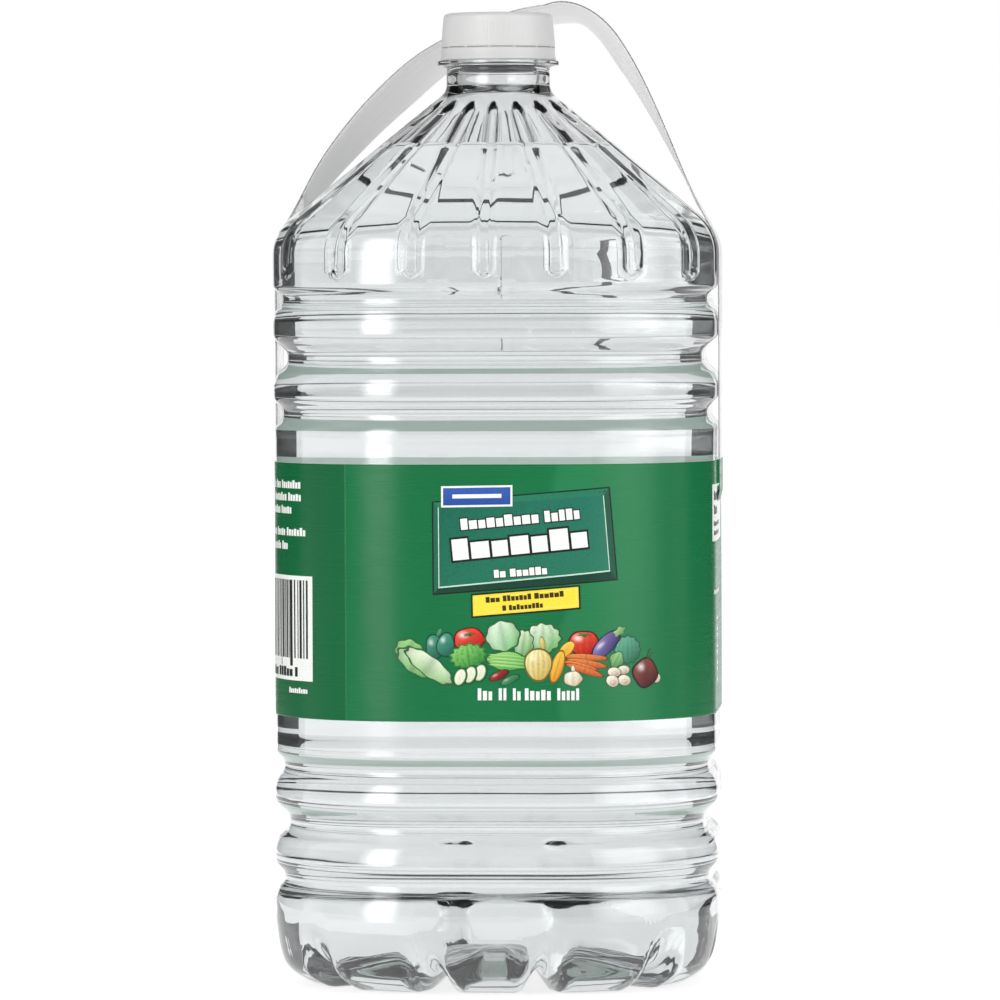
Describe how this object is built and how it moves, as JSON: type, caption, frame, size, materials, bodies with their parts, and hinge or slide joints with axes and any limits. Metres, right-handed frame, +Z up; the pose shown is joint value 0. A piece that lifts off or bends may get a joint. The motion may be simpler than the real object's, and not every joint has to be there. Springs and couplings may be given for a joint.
{
  "type": "vinegar bottle",
  "caption": "Large clear square bottle of vinegar with rounded corners, grooved sides, fluted shoulder, footed base, wrap label, white screw cap and a tape carrying loop.",
  "frame": {"origin": "on the bottle's axis, in the plane that its feet stand on", "axes": "+Z up; the label's front faces -Y; the handle's ends are on the -X and +X sides and its loop hangs behind the cap, at +Y"},
  "size_m": [0.1376, 0.1362, 0.3026],
  "materials": {
    "clear_plastic": "clear, glossy blown plastic",
    "vinegar": "clear, colourless liquid",
    "label_film": "glossy printed film, green",
    "cap_plastic": "white moulded plastic",
    "clear_tape": "thin clear adhesive tape",
    "white_strip": "thin white film, slightly translucent"
  },
  "bodies": {
    "root": {"bottle": "clear_plastic", "vinegar": "vinegar", "label": "label_film", "cap": "cap_plastic", "cap_ring": "cap_plastic", "handle_tape": "clear_tape", "handle_strip": "white_strip"}
  },
  "joints": []
}
